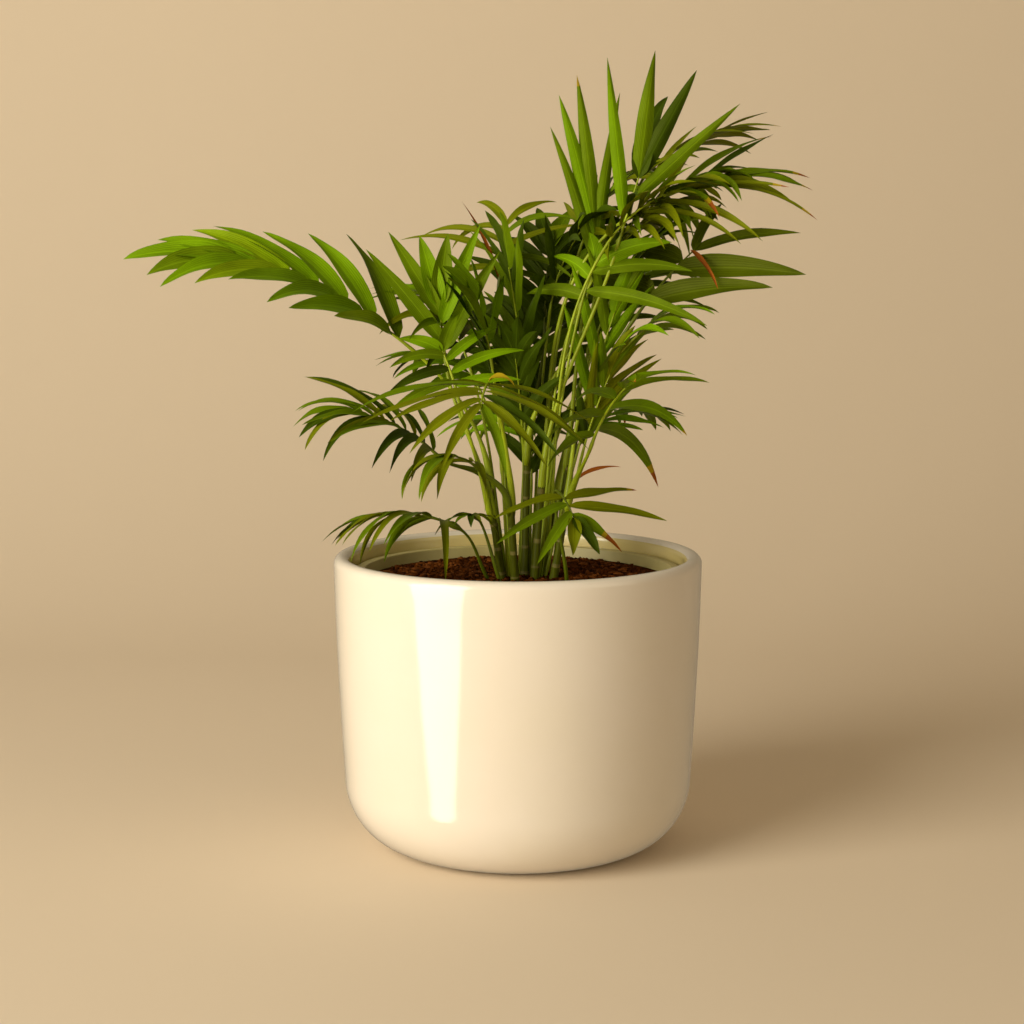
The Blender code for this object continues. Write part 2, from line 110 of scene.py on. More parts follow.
# Uneven tone, from a light to a dark colour in soft patches, which most of the finishes share.
mottle, mottle_in, mottle_out = new_group(
    "mottle", {"Light": "Color", "Dark": "Color", "Scale": "Float", "Amount": "Float"},
    {"Colour": "Color", "Height": "Float"})
mottle_place = add_node(mottle, "ShaderNodeTexCoord")
mottle_noise = add_node(mottle, "ShaderNodeTexNoise", {
    "Vector": mottle_place.outputs["Object"], "Scale": mottle_in.outputs["Scale"], "Detail": 4.0})
mottle_share = add_node(mottle, "ShaderNodeMapRange", {
    "Value": mottle_noise.outputs["Fac"], "From Min": 0.35, "From Max": 0.65, "To Max": 1.0})
mottle_depth = add_node(mottle, "ShaderNodeMath", {
    0: mottle_share.outputs["Result"], 1: mottle_in.outputs["Amount"]}, operation="MULTIPLY")
mottle_mix = add_node(mottle, "ShaderNodeMix", {
    "Factor": mottle_depth.outputs["Value"]}, data_type="RGBA")
mottle.links.new(mottle_in.outputs["Light"], mottle_mix.inputs["A"])
mottle.links.new(mottle_in.outputs["Dark"], mottle_mix.inputs["B"])
mottle.links.new(mottle_mix.outputs["Result"], mottle_out.inputs["Colour"])
mottle.links.new(mottle_noise.outputs["Fac"], mottle_out.inputs["Height"])


def mottled(finish, shader, light, dark, scale, amount):
    """Gives a finish an uneven tone, and returns the node that makes it."""
    tone = add_node(finish.node_tree, "ShaderNodeGroup", {
        "Light": (*light, 1), "Dark": (*dark, 1), "Scale": scale, "Amount": amount}, node_tree=mottle)
    finish.node_tree.links.new(tone.outputs["Colour"], shader.inputs["Base Color"])
    return tone


def embossed(finish, shader, height, strength, distance):
    """Gives a finish the relief of a height, whose depth is in metres."""
    bump = add_node(finish.node_tree, "ShaderNodeBump", {
        "Height": height, "Strength": strength, "Distance": distance})
    finish.node_tree.links.new(bump.outputs["Normal"], shader.inputs["Normal"])


def quarter(centre, radius, height, start, end, steps):
    """Points along an ellipse's arc, from one angle to another."""
    angles = [math.radians(start + (end - start) * i / steps) for i in range(steps + 1)]
    return [(centre[0] + radius * math.cos(a), centre[1] + height * math.sin(a)) for a in angles]


def turned(profile, steps):
    """Closed shell of a profile of (radius, height) points, spun once round the Z axis."""
    bm = bmesh.new()
    points = [bm.verts.new((radius, 0, height)) for radius, height in profile]
    edges = [bm.edges.new(pair) for pair in zip(points, points[1:])]
    bmesh.ops.spin(bm, geom=points + edges, cent=(0, 0, 0), axis=(0, 0, 1), angle=math.tau,
                   steps=steps, use_merge=True)
    bmesh.ops.remove_doubles(bm, verts=bm.verts, dist=0.001)
    bmesh.ops.recalc_face_normals(bm, faces=bm.faces)
    return bm


def place(name, bm, finishes, nodes):
    """Makes a mesh modelled in millimetres a piece of the plant, in place of those CAD nodes."""
    bmesh.ops.scale(bm, vec=(MM, MM, MM), verts=bm.verts)
    mesh = bpy.data.meshes.new(name)
    bm.to_mesh(mesh)
    bm.free()
    for finish in finishes:
        mesh.materials.append(finish)
    mesh.shade_smooth()
    item = bpy.data.objects.new(name, mesh)
    bpy.context.scene.collection.objects.link(item)
    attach(item, "root")
    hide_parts(*nodes)
    return item


def wall_radius(height):
    """Outside of the pot above its round corner, which widens less and less towards the rim."""
    share = (height - POT_SHOULDER[1]) / (POT_HEIGHT - POT_SHOULDER[1])
    return POT_SHOULDER[0] + (POT_RIM_RADIUS - POT_SHOULDER[0]) * (1 - (1 - share) ** 1.5)


lip = POT_WALL / 2
pot_corner = quarter((POT_FOOT_RADIUS, POT_SHOULDER[1]), POT_SHOULDER[0] - POT_FOOT_RADIUS,
                     POT_SHOULDER[1], -90, 0, 18)
pot_wall = [(wall_radius(height), height) for height in POT_WALL_LEVELS]
pot_lip = quarter((POT_RIM_RADIUS - lip, POT_HEIGHT - lip), lip, lip, 0, 180, 12)
pot_inside = quarter((POT_INNER_FOOT, POT_INNER_SHOULDER[1]), POT_INNER_SHOULDER[0] - POT_INNER_FOOT,
                     POT_INNER_SHOULDER[1] - POT_FLOOR, 0, -90, 8)
pot_mesh = turned([(0, 0)] + pot_corner + pot_wall + pot_lip + pot_inside + [(0, POT_FLOOR)], POT_STEPS)
# The faces inside the pot get the inside glaze, whose colour is painted shade and a painted reflection.
for face in pot_mesh.faces:
    middle = face.calc_center_median()
    is_inside_wall = middle.xy.dot(face.normal.xy) < -FACES_AXIS * middle.xy.length
    is_inside_floor = face.normal.z > 0.5 and middle.z < FLOOR_FACES_BELOW
    if middle.z < BARE_CLAY_HEIGHT:
        face.material_index = 1
    elif is_inside_wall or is_inside_floor:
        face.material_index = 2

ivory, ivory_shader = new_finish("ivory_glaze", IVORY_GLAZE, GLAZE_ROUGHNESS)
ivory_clouds = mottled(ivory, ivory_shader, IVORY_GLAZE, IVORY_SHADE, **GLAZE_CLOUDS)
# The inside glaze carries painted shade and a painted reflection of the soil and leaves in its colour.
inside, inside_shader = new_finish("inside_glaze_painted_shade", INSIDE_GLAZE_PAINTED_SHADE, GLAZE_ROUGHNESS)
inside_clouds = add_node(inside.node_tree, "ShaderNodeGroup", {
    "Scale": GLAZE_CLOUDS["scale"]}, node_tree=mottle)
for glaze, shader, clouds in ((ivory, ivory_shader, ivory_clouds), (inside, inside_shader, inside_clouds)):
    embossed(glaze, shader, clouds.outputs["Height"], **GLAZE_RIPPLE)
    shader.inputs["Coat Weight"].default_value = GLAZE_COAT
    shader.inputs["Coat Roughness"].default_value = GLAZE_COAT_ROUGHNESS

clay, clay_shader = new_finish("bare_clay", BARE_CLAY, 0.9)
mottled(clay, clay_shader, BARE_CLAY, CLAY_SHADE, **CLAY_GRAIN)
place("glazed_pot", pot_mesh, [ivory, clay, inside], ["pot"])


# The liner: the thin plastic growing pot that the palm was sold in, with a flat rim that stands just
# under the lip of the glazed pot. It is moulded in one and simply stands on the floor of the pot.

LINER_WALL = 1.6
LINER_FOOT = (45.0, 8.3)
LINER_SHOULDER = (60.0, 20.0)
LINER_NECK = (68.5, 117.8)
LINER_RIM_RADIUS = 71.0
LINER_HEIGHT = 121.5
LINER_ROUND = 0.6
LINER_STEPS = 120
LINER_CREAM = (0.56, 0.49, 0.21)
LINER_SHADE = (0.44, 0.38, 0.15)
LINER_STAIN = dict(scale=60.0, amount=0.7)

liner_lip = quarter((LINER_RIM_RADIUS - LINER_ROUND, LINER_HEIGHT - LINER_ROUND),
                    LINER_ROUND, LINER_ROUND, 0, 90, 4)
liner_inner_lip = quarter((LINER_NECK[0] - LINER_WALL + LINER_ROUND, LINER_HEIGHT - LINER_ROUND),
                          LINER_ROUND, LINER_ROUND, 90, 180, 4)
liner_mesh = turned(
    [(0, LINER_FOOT[1]), LINER_FOOT, LINER_SHOULDER, LINER_NECK, (LINER_RIM_RADIUS, LINER_NECK[1])]
    + liner_lip + liner_inner_lip
    + [(LINER_SHOULDER[0] - LINER_WALL, LINER_SHOULDER[1] + LINER_WALL / 2),
       (LINER_FOOT[0] - LINER_WALL / 2, LINER_FOOT[1] + LINER_WALL), (0, LINER_FOOT[1] + LINER_WALL)],
    LINER_STEPS)
liner_finish, liner_shader = new_finish("liner_plastic", LINER_CREAM, 0.42)
mottled(liner_finish, liner_shader, LINER_CREAM, LINER_SHADE, **LINER_STAIN)
place("growing_pot", liner_mesh, [liner_finish], ["liner"])


# The soil: dark peat and bark potting mix, heaped slightly round the canes. It is loose crumbs and
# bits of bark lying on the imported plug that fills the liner.

SOIL_LEVEL = 118.0
SOIL_EDGE_LEVEL = 116.6
SOIL_FLAT_RADIUS = 36.0
SOIL_RADIUS = 66.2
SOIL_FOOT = (50, 12)
SOIL_SHOULDER = (58, 22)
SOIL_NECK = (SOIL_RADIUS - 0.4, 112)
SOIL_RING_GAP = 2
SOIL_STEPS = 96
SOIL_ROUGHNESS = 0.9           # how deep its pits are
SOIL_HUMPS = 0.6               # and its humps, as a share of that
CRUMB_COUNT = 1500
CRUMB_SIZES = (0.5, 1.3)
CRUMB_EDGE = 2.5               # how far the crumbs stay off the liner
CRUMB_RISE = 0.25              # how far one stands out of the soil, as a share of its size
CRUMB_TILT = 0.5
CRUMB_DENTS = 0.16
CRUMBS_TO_BARK = 5             # one small crumb in so many is bark too
BARK_COUNT = 260
BARK_SCALE = 1.3
BARK_CHIP = (1.9, 0.8, 0.45)
SOIL_LIGHT = (0.11, 0.029, 0.003)
SOIL_DARK = (0.022, 0.006, 0.002)
BARK_LIGHT = (0.20, 0.060, 0.010)
BARK_DARK = (0.08, 0.024, 0.005)
SOIL_PATCHES = dict(scale=240.0, amount=1.0)
BARK_PATCHES = dict(scale=300.0, amount=1.0)
SOIL_GRAIN = dict(strength=0.9, distance=0.0015)

chance = random.Random("soil")


def soil_height(radius):
    """Level of the soil's top, from the flat middle down to the liner."""
    share = max(0.0, (radius - SOIL_FLAT_RADIUS) / (SOIL_RADIUS - SOIL_FLAT_RADIUS))
    return SOIL_LEVEL - (SOIL_LEVEL - SOIL_EDGE_LEVEL) * share


soil_rings = [(radius, soil_height(radius)) for radius in range(64, 0, -SOIL_RING_GAP)]
soil_mesh = turned(
    [(0, SOIL_FOOT[1]), SOIL_FOOT, SOIL_SHOULDER, SOIL_NECK, (SOIL_RADIUS, SOIL_EDGE_LEVEL)]
    + soil_rings + [(0, SOIL_LEVEL)], SOIL_STEPS)
for vertex in soil_mesh.verts:
    if vertex.co.z > SOIL_EDGE_LEVEL - 1 and vertex.co.xy.length < SOIL_RADIUS - 1:
        vertex.co.z += chance.uniform(-SOIL_ROUGHNESS, SOIL_ROUGHNESS * SOIL_HUMPS)

soil_finish, soil_shader = new_finish("potting_mix", SOIL_DARK, 0.95, specular=0.02)
soil_tone = mottled(soil_finish, soil_shader, SOIL_LIGHT, SOIL_DARK, **SOIL_PATCHES)
embossed(soil_finish, soil_shader, soil_tone.outputs["Height"], **SOIL_GRAIN)
bark_finish, bark_shader = new_finish("bark_chips", BARK_LIGHT, 0.85, specular=0.05)
mottled(bark_finish, bark_shader, BARK_LIGHT, BARK_DARK, **BARK_PATCHES)
place("potting_mix", soil_mesh, [soil_finish], ["soil"])

crumbs = bmesh.new()
for index in range(CRUMB_COUNT + BARK_COUNT):
    is_bark = index >= CRUMB_COUNT
    radius = (SOIL_RADIUS - CRUMB_EDGE) * math.sqrt(chance.random())
    turn = chance.uniform(0, math.tau)
    size = chance.uniform(*CRUMB_SIZES) * (BARK_SCALE if is_bark else 1.0)
    stretch = BARK_CHIP if is_bark else (1.0, chance.uniform(0.7, 1.0), chance.uniform(0.6, 0.9))
    level = soil_height(radius) + CRUMB_RISE * size
    spot = Vector((radius * math.cos(turn), radius * math.sin(turn), level))
    tilt = (Matrix.Rotation(chance.uniform(0, math.tau), 4, "Z")
            @ Matrix.Rotation(chance.uniform(-CRUMB_TILT, CRUMB_TILT), 4, "X"))
    shape = Matrix.Translation(spot) @ tilt @ Matrix.Diagonal((*(size * part for part in stretch), 1))
    made = bmesh.ops.create_icosphere(crumbs, subdivisions=1, radius=1, matrix=shape)["verts"]
    for vertex in made:
        vertex.co += Vector([chance.uniform(-CRUMB_DENTS, CRUMB_DENTS) * size for _ in range(3)])
    for face in {face for vertex in made for face in vertex.link_faces}:
        face.material_index = 1 if is_bark or index % CRUMBS_TO_BARK == 0 else 0
place("soil_crumbs", crumbs, [soil_finish, bark_finish], [])


# The canes: eleven slim green stems that stand close together, each ringed where an old leaf fell off,
# with the split base of the last sheaths round its foot. They grow out of the soil.

STEMS = {
    "left": dict(foot=(-7, 0), top=(-12, 1), height=156, radii=(2.4, 2.2)),
    "left_front": dict(foot=(-6, -7), top=(-11, -11), height=146, radii=(2.4, 2.2)),
    "front_left": dict(foot=(-1, -11), top=(-3, -16), height=150, radii=(2.4, 2.2)),
    "left_back": dict(foot=(-3, 7), top=(-6, 12), height=162, radii=(2.4, 2.2)),
    "back": dict(foot=(4, 11), top=(4, 18), height=144, radii=(2.4, 2.2)),
    "centre": dict(foot=(3, 1), top=(4, 2), height=170, radii=(2.5, 2.2)),
    "right_back": dict(foot=(12, 10), top=(17, 17), height=148, radii=(2.4, 2.2)),
    "right": dict(foot=(16, 3), top=(22, 4), height=166, radii=(2.4, 2.2)),
    "centre_right": dict(foot=(9, 4), top=(12, 7), height=160, radii=(2.4, 2.2)),
    "right_front": dict(foot=(15, -6), top=(21, -10), height=150, radii=(2.4, 2.2)),
    "front": dict(foot=(7, -7), top=(10, -9), height=158, radii=(2.5, 2.2)),
}
GAP = 0.3                      # between the solids of a stem and a stalk, closed here
CANE_SINK = 3.0
CANE_SIDES = 16
CANE_RINGS = 44
SCAR_SPACING = 11.0
SCAR_HALF_WIDTH = 0.09         # as a share of the spacing
SCAR_SWELL = 0.15
SCAR_SHOWS = 0.3               # how much of the swelling is buff
CANE_SLIM = 0.68               # the bare cane inside the width that the sheaths once took
FOOT_SHEATH = 0.4              # what is left of the old sheaths round the foot
FOOT_SHEATH_SHARE = 0.35
CANE_GREEN = (0.12, 0.145, 0.004)
CANE_SHADE = (0.045, 0.052, 0.003)
SCAR_BUFF = (0.20, 0.17, 0.03)
SCAR_SHADE = (0.09, 0.09, 0.01)
SCAR_PATCHES = dict(scale=500.0, amount=0.8)
CANE_STREAKS = dict(strength=0.5, distance=0.0004)


def blend(pair, share):
    """Value at a share of the way from the first of a pair to the second."""
    return pair[0] + (pair[1] - pair[0]) * share


def limb(bm, points, radii, sides, material=lambda step: 0):
    """Grows a round limb ring by ring along a line of points, and closes both its ends."""
    ahead = (points[1] - points[0]).normalized()
    across = ahead.orthogonal().normalized()
    rings = []
    for i, point in enumerate(points):
        before, after = points[max(i - 1, 0)], points[min(i + 1, len(points) - 1)]
        turn = ahead.rotation_difference((after - before).normalized())
        across = turn @ across
        ahead = turn @ ahead
        axes = Matrix((across, ahead.cross(across), ahead)).transposed().to_4x4()
        rings.append(Matrix.Translation(point) @ axes @ Matrix.Scale(radii[i], 4))
    verts = bmesh.ops.create_circle(bm, segments=sides, radius=1, cap_ends=True, matrix=rings[0])["verts"]
    cap = verts[0].link_faces[0]
    edges = list(cap.edges)
    faces = [cap]
    for step, (low, high) in enumerate(zip(rings, rings[1:])):
        grown = bmesh.ops.extrude_edge_only(bm, edges=edges)["geom"]
        edges = [item for item in grown if isinstance(item, bmesh.types.BMEdge)]
        verts = [item for item in grown if isinstance(item, bmesh.types.BMVert)]
        sleeve = [item for item in grown if isinstance(item, bmesh.types.BMFace)]
        bmesh.ops.transform(bm, matrix=high @ low.inverted(), verts=verts)
        for face in sleeve:
            face.material_index = material(step)
        faces += sleeve
        rim = set(verts)
        edges = [edge for edge in edges if edge.verts[0] in rim and edge.verts[1] in rim]
    faces += bmesh.ops.contextual_create(bm, geom=edges)["faces"]
    bmesh.ops.recalc_face_normals(bm, faces=faces)


cane_mesh = bmesh.new()
for name, spec in STEMS.items():
    chance = random.Random("cane_" + name)
    foot = Vector((*spec["foot"], SOIL_LEVEL - CANE_SINK))
    top = Vector((*spec["top"], spec["height"] + GAP))
    offset = chance.uniform(0, SCAR_SPACING)
    points, radii, scars = [], [], []
    for step in range(CANE_RINGS + 1):
        share = step / CANE_RINGS
        height = (top - foot).length * share
        phase = ((height + offset) % SCAR_SPACING) / SCAR_SPACING
        scar = max(0.0, 1 - abs(phase - 0.5) / SCAR_HALF_WIDTH)
        sheath = max(0.0, 1 - share / FOOT_SHEATH_SHARE) * FOOT_SHEATH
        points.append(foot.lerp(top, share))
        radii.append(CANE_SLIM * blend(spec["radii"], share) + SCAR_SWELL * scar + sheath)
        scars.append(scar > SCAR_SHOWS)
    limb(cane_mesh, points, radii, CANE_SIDES, lambda step: int(scars[step]))

cane_finish, cane_shader = new_finish("cane_skin", CANE_GREEN, 0.42, specular=0.15)
cane_tree = cane_finish.node_tree
cane_place = add_node(cane_tree, "ShaderNodeTexCoord")
cane_stretch = add_node(cane_tree, "ShaderNodeMapping", {
    "Vector": cane_place.outputs["Object"], "Scale": (1.0, 1.0, 0.08)})
cane_streak = add_node(cane_tree, "ShaderNodeTexNoise", {
    "Vector": cane_stretch.outputs["Vector"], "Scale": 900.0, "Detail": 3.0})
cane_tone = add_node(cane_tree, "ShaderNodeMix", {"Factor": cane_streak.outputs["Fac"]}, data_type="RGBA")
cane_tone.inputs["A"].default_value = (*CANE_SHADE, 1)
cane_tone.inputs["B"].default_value = (*CANE_GREEN, 1)
cane_tree.links.new(cane_tone.outputs["Result"], cane_shader.inputs["Base Color"])
embossed(cane_finish, cane_shader, cane_streak.outputs["Fac"], **CANE_STREAKS)
scar_finish, scar_shader = new_finish("leaf_scar", SCAR_BUFF, 0.7)
mottled(scar_finish, scar_shader, SCAR_BUFF, SCAR_SHADE, **SCAR_PATCHES)
place("canes", cane_mesh, [cane_finish, scar_finish], ["stem_" + name for name in STEMS])


# The leaf stalks: each frond has a smooth round stalk that leaves its cane, or the soil, through a
# clasping sheath and runs on, thinner and thinner, as the rib that carries the leaflets.

FRONDS = {}


def frond(name, stem, base, heading, rise, fall, rib, pairs, leaf, width, spread, droop,
          roll=0, fold=(8, 8), first=0.7, last=0.62, rows=(1, 1), swept=(0, 0), ends=1.25, tone="mid",
          stalk=0, spray="left", solid=True, loose=1.8):
    """Adds a frond.

    base is where the blade starts. heading, rise and fall aim its rib: compass direction, and upward
    angle at its start and tip. leaf and width are the largest leaflet's. spread is a leaflet's angle
    to the rib and droop its downward bend, each at the blade's start and tip. roll turns the blade
    about its rib, fold lifts its two rows, rows scales their leaflets, swept adds to their spread,
    first and last are the lengths of the end leaflets as shares of the longest, and ends widens the
    last pair. stem is a stem's name or a foot on the soil. tone is its green, where the darkest is
    painted shade and the two lightest are painted light. stalk is the finish of its stalk, where 1 is
    the stalk green darkened by painted shade. spray is the piece it goes into, solid says whether the
    CAD model has it too, and loose is how unruly its leaflets are.
    """
    FRONDS[name] = dict(stem=stem, base=Vector(base), heading=heading, rise=rise, fall=fall, rib=rib,
                        pairs=pairs, leaf=leaf, width=width, spread=spread, droop=droop, roll=roll,
                        fold=fold, first=first, last=last, rows=rows, swept=swept, ends=ends, tone=tone,
                        stalk=stalk, spray=spray, solid=solid, loose=loose)


# The left side.
frond("left_high", "left", (-46, 0, 217), 184, 40, 13, rib=84, pairs=6, leaf=54, width=9.2,
      spread=(44, 13), droop=(24, 40), roll=42, fold=(20, 40), first=1.12, last=0.92, rows=(1, 0.8),
      swept=(0, 13), loose=1.3, tone="fresh_painted_light")
frond("left_upright", "left_front", (-31, -4, 212), 150, 82, 84, rib=24, pairs=2, leaf=50, width=7,
      spread=(40, 16), droop=(14, 6), roll=58, fold=(6, 6), loose=1.2, tone="mid")
frond("left_mid", "left", (-34, -15, 172), 196, 46, 10, rib=42, pairs=8, leaf=45, width=4.2,
      spread=(55, 20), droop=(72, 60), roll=26, fold=(20, 20), tone="olive", stalk=1)
frond("left_low", (-13, -10), (-28, -25, 144), 198, 24, -2, rib=28, pairs=5, leaf=46, width=4.2,
      spread=(74, 16), droop=(90, 50), roll=-6, first=0.95, tone="olive", stalk=1)
frond("left_small", (-8, -13), (-18, -20, 147), 250, 20, 0, rib=6, pairs=3, leaf=18, width=2.4,
      spread=(90, 40), droop=(50, 50), tone="olive", stalk=1, solid=False)
frond("left_inner", "left_front", (-26, -20, 200), 160, 75, 64, rib=18, pairs=3, leaf=32, width=4.4,
      spread=(96, 56), droop=(50, 40), roll=50, tone="mid")
frond("left_lower", "front_left", (-17, -26, 168), 222, 40, 5, rib=16, pairs=2, leaf=38, width=4.2,
      spread=(70, 24), droop=(84, 84), first=0.9, last=0.8, tone="olive", stalk=1)

# The front and the right side, from the lowest frond up to the top.
frond("front_mid", "front_left", (-12, -52, 205), 264, 6, -34, rib=26, pairs=6, leaf=52, width=4.8,
      spread=(100, 44), droop=(30, 26), roll=8, fold=(0, 0), first=0.9, last=0.72, ends=0.9, tone="olive",
      spray="right")
frond("right_low", (21, -15), (18, -36, 158), 302, -30, -54, rib=13, pairs=3, leaf=42, width=4.8,
      spread=(116, 34), droop=(18, 14), roll=-12, fold=(0, 0), rows=(0.9, 1), last=0.45, loose=1.4,
      tone="olive", spray="right", stalk=1)
frond("right_mid", "right_front", (31, -26, 178), 305, 62, 34, rib=34, pairs=3, leaf=54, width=5.8,
      spread=(116, 36), droop=(46, 46), rows=(0.6, 1), tone="mid", spray="right")
frond("right_lower", "right_front", (33, -2, 202), 350, 54, 40, rib=36, pairs=3, leaf=52, width=4.8,
      spread=(56, 26), droop=(48, 64), tone="mid", spray="right")
frond("right_wide", "right", (51, 0, 231), 10, 54, 42, rib=38, pairs=2, leaf=60, width=10.5,
      spread=(46, 46), droop=(18, 26), roll=-46, first=0.85, last=0.78, rows=(1, 0.6), swept=(0, 60),
      ends=0.5, loose=1, tone="dusky", spray="right", stalk=1)
frond("right_top", "centre_right", (46, -2, 272), 4, 34, 10, rib=48, pairs=5, leaf=60, width=4,
      spread=(44, 14), droop=(34, 30), roll=-32, tone="olive", spray="right", loose=2.6)
frond("right_back", "right", (50, 24, 282), 20, 50, 22, rib=42, pairs=4, leaf=52, width=4.4,
      spread=(44, 18), droop=(46, 34), roll=20, tone="olive", spray="right", loose=2.6)
frond("top", "front", (42, -8, 260), -18, 73, 72, rib=31, pairs=1, leaf=68, width=5.8,
      spread=(22, 18), droop=(4, 4), roll=70, fold=(0, 0), last=0.74, rows=(1.05, 1), swept=(0, 12),
      loose=0.6, tone="mid", spray="top")
frond("top_inner", "centre", (34, 6.5, 244), 0, 87, 98, rib=22, pairs=1, leaf=68, width=5.4,
      spread=(16, 6), droop=(6, 6), roll=84, fold=(0, 0), last=1, rows=(0.9, 1),
      loose=0.6, tone="mid", spray="top")
frond("top_left", "left_back", (-8, 20, 246), 70, 72, 64, rib=26, pairs=4, leaf=42, width=3,
      spread=(88, 50), droop=(60, 60), tone="olive", spray="top", stalk=1, loose=2.6)

# The middle and the back of the crown.
frond("centre_back", "centre", (12, 28, 222), 80, 84, 60, rib=40, pairs=5, leaf=42, width=6,
      spread=(50, 24), droop=(26, 26), tone="deep", spray="back", stalk=1)
frond("centre_low", "back", (4, 24, 190), 100, 80, 50, rib=40, pairs=5, leaf=42, width=6,
      spread=(60, 26), droop=(30, 30), tone="deep", spray="back", stalk=1)
frond("inner_right", "centre_right", (31, 15, 216), 60, 80, 60, rib=40, pairs=5, leaf=40, width=5.6,
      spread=(44, 24), droop=(30, 30), tone="deep", spray="back")
frond("back_left", "left_back", (-12, 34, 214), 125, 50, 5, rib=60, pairs=8, leaf=44, width=5.4,
      spread=(55, 24), droop=(36, 36), tone="mid", spray="back")
frond("back_right", "right_back", (36, 34, 220), 55, 54, 5, rib=62, pairs=8, leaf=40, width=5.2,
      spread=(55, 24), droop=(36, 36), tone="mid", spray="back")
frond("back_low", "back", (2, 36, 172), 100, 34, -10, rib=52, pairs=7, leaf=42, width=5.2,
      spread=(60, 24), droop=(46, 46), tone="mid", spray="back", stalk=1)
frond("back_low_right", "right_back", (30, 30, 176), 50, 36, -10, rib=44, pairs=6, leaf=36, width=4.6,
      spread=(60, 24), droop=(46, 46), tone="mid", spray="back", stalk=1)


def fill_frond(name, foot, base, heading, rise, fall, **shape):
    """Adds a finer frond that fills the crown within the same reach, on a stalk of its own."""
    frond("fill_" + name, foot, base, heading, rise, fall, spray="inner", solid=False, **shape)


# Most fill fronds take the darkest green, which is painted shade for the shade inside the crown.
fill_frond("heart", (1, 5), (2, 12, 208), 210, 84, 78, rib=44, pairs=3, leaf=44, width=6,
           spread=(30, 14), droop=(20, 20), tone="deep", loose=2.6)
fill_frond("heart_high", (6, 7), (14, 16, 232), 330, 82, 50, rib=40, pairs=4, leaf=40, width=5.4,
           spread=(40, 20), droop=(50, 60), tone="deep", loose=2.6)
fill_frond("heart_left", (-3, -1), (-9, 4, 194), 170, 82, 66, rib=40, pairs=3, leaf=40, width=6,
           spread=(34, 18), droop=(20, 30), tone="deep", loose=2.6)
fill_frond("left_tall", (-4, -5), (-12, -8, 216), 200, 80, 66, rib=22, pairs=2, leaf=40, width=6.4,
           spread=(44, 24), droop=(30, 30), roll=40, tone="fresh_painted_light", loose=2)
fill_frond("front", (2, 1), (2, 4, 180), 250, 80, 70, rib=34, pairs=4, leaf=38, width=5.6,
           spread=(28, 14), droop=(30, 30), tone="deep", loose=2.6)
fill_frond("low", (5, 4), (6, 9, 158), 80, 84, 70, rib=36, pairs=4, leaf=38, width=5.4,
           spread=(30, 16), droop=(30, 30), tone="deep", loose=2.6)
fill_frond("front_right", (12, -3), (30, 2, 190), 340, 78, 70, rib=44, pairs=3, leaf=44, width=5,
           spread=(24, 12), droop=(14, 14), roll=62, tone="mid", loose=2)
fill_frond("bright", (9, -4), (27, -6, 236), 350, 76, 66, rib=18, pairs=2, leaf=58, width=5.8,
           spread=(84, 50), droop=(30, 44), roll=104, rows=(0.5, 1), last=0.6, tone="mid", loose=1.6)
fill_frond("top_front", (8, -1), (36, 0, 252), 8, 54, 24, rib=42, pairs=7, leaf=38, width=4.4,
           spread=(74, 30), droop=(64, 70), roll=24, tone="olive", loose=3)
fill_frond("top_mid", (11, -1), (38, -12, 262), 8, 56, 14, rib=42, pairs=7, leaf=32, width=4.2,
           spread=(70, 30), droop=(44, 50), roll=20, tone="olive", loose=3)
fill_frond("right", (12, 2), (40, 14, 236), 10, 66, 40, rib=36, pairs=4, leaf=38, width=4.2,
           spread=(40, 20), droop=(40, 40), tone="mid", loose=2.6)
fill_frond("right_high", (10, 7), (42, 4, 262), 350, 52, 20, rib=50, pairs=8, leaf=36, width=4.2,
           spread=(64, 24), droop=(50, 60), tone="olive", loose=3)
fill_frond("top_back", (8, 9), (28, 16, 262), 20, 70, 30, rib=42, pairs=7, leaf=38, width=4.2,
           spread=(70, 24), droop=(50, 50), tone="olive", loose=3)
fill_frond("left", (-5, 3), (-22, 8, 212), 160, 70, 40, rib=26, pairs=4, leaf=38, width=4,
           spread=(56, 28), droop=(60, 60), tone="olive", loose=3)
fill_frond("left_back", (0, 9), (-16, 22, 196), 140, 60, 0, rib=34, pairs=5, leaf=40, width=4.6,
           spread=(60, 28), droop=(50, 60), tone="mid", loose=2)
fill_frond("back", (7, 13), (14, 34, 204), 90, 64, 10, rib=36, pairs=5, leaf=40, width=5,
           spread=(60, 28), droop=(50, 60), tone="deep", loose=2)
fill_frond("low_right", (16, -3), (28, -2, 172), 350, 76, 66, rib=36, pairs=4, leaf=40, width=4.6,
           spread=(28, 14), droop=(16, 20), roll=54, tone="olive", loose=2.4)

PETIOLE_RING = 0.9             # how far off the cane's middle its stalks start
PETIOLE_SINK = 4.0             # how deep in the cane, or the soil, they start
PETIOLE_HANDLES = (0.4, 0.35)  # how far a stalk's curve keeps to its cane's and its rib's direction
PETIOLE_RADII = (0.95, 0.72)
RIB_RADII = (0.72, 0.3)
SOIL_STALK = 0.75              # a stalk from the soil is slimmer, as a share of one from a cane
SOIL_LEAN = 0.15               # how upright it starts
SOIL_SWELL = 0.15              # and it starts hardly thicker
SHEATH_LENGTH = 26.0
SHEATH_SWELL = 0.7
KNUCKLE = 0.15                 # swelling where a blade starts
KNUCKLES = {"left_low": 1.0, "left_small": 0.9}
KNUCKLE_BEFORE = 2.5
KNUCKLE_AFTER = 2.0
STALK_SIDES = 10
PETIOLE_STEPS = 22
RIB_STEPS = 18
# The stalks' green, and the same green darkened by painted shade for stalks that stand in shade.
STALK_BRIGHT = (0.36, 0.46, 0.012)
STALK_PAINTED_SHADE = (0.15, 0.20, 0.006)
STALK_SHADE = 0.55
STALK_PATCHES = dict(scale=70.0, amount=0.8)


